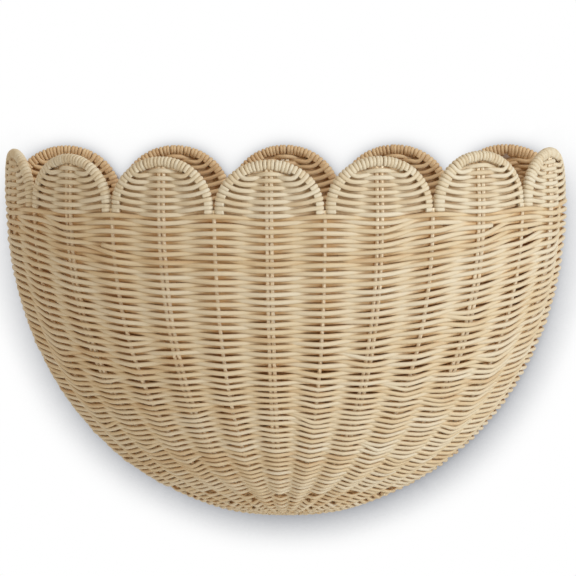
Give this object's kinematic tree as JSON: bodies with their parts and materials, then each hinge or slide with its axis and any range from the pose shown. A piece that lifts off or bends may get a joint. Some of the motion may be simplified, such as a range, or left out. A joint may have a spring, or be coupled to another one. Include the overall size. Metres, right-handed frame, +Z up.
{
  "type": "wall basket",
  "caption": "Half-bowl wall basket of woven round rattan with a flat back and a scalloped rim bound over arched rods.",
  "frame": {"origin": "on the wall plane, at mid width, level with the two hanging holes and midway between them", "axes": "+X towards the basket's right-hand corner as seen from the room, +Y into the wall, +Z up; the bowl bulges towards -Y"},
  "size_m": [0.32, 0.118, 0.2115],
  "materials": {
    "weave": "natural round rattan core, plain weave, matt, straw coloured with honey streaks",
    "bound_rod": "round rattan rod bound with turning weavers, satin to matt",
    "stake": "peeled round rattan core, matt"
  },
  "bodies": {
    "root": {"front_weave": "weave", "back_weave": "weave", "base_weave": "weave", "outline_frame": "bound_rod", "front_arch_1": "bound_rod", "front_arch_2": "bound_rod", "front_arch_3": "bound_rod", "front_arch_4": "bound_rod", "front_arch_5": "bound_rod", "front_arch_6": "bound_rod", "front_arch_7": "bound_rod", "back_arch_1": "bound_rod", "back_arch_2": "bound_rod", "back_arch_3": "bound_rod", "back_arch_4": "bound_rod", "back_arch_5": "bound_rod", "front_pair_stake_1_left": "stake", "front_pair_stake_1_right": "stake", "front_pair_stake_2_left": "stake", "front_pair_stake_2_right": "stake", "front_pair_stake_3_left": "stake", "front_pair_stake_3_right": "stake", "front_pair_stake_4_left": "stake", "front_pair_stake_4_right": "stake", "front_pair_stake_5_left": "stake", "front_pair_stake_5_right": "stake", "front_pair_stake_6_left": "stake", "front_pair_stake_6_right": "stake", "front_pair_stake_7_left": "stake", "front_pair_stake_7_right": "stake", "front_valley_stake_1": "stake", "front_valley_stake_2": "stake", "front_valley_stake_3": "stake", "front_valley_stake_4": "stake", "front_valley_stake_5": "stake", "front_valley_stake_6": "stake", "back_pair_stake_1_left": "stake", "back_pair_stake_1_right": "stake", "back_pair_stake_2_left": "stake", "back_pair_stake_2_right": "stake", "back_pair_stake_3_left": "stake", "back_pair_stake_3_right": "stake", "back_pair_stake_4_left": "stake", "back_pair_stake_4_right": "stake", "back_pair_stake_5_left": "stake", "back_pair_stake_5_right": "stake", "back_valley_stake_1": "stake", "back_valley_stake_2": "stake", "back_valley_stake_3": "stake", "back_valley_stake_4": "stake"}
  },
  "joints": []
}
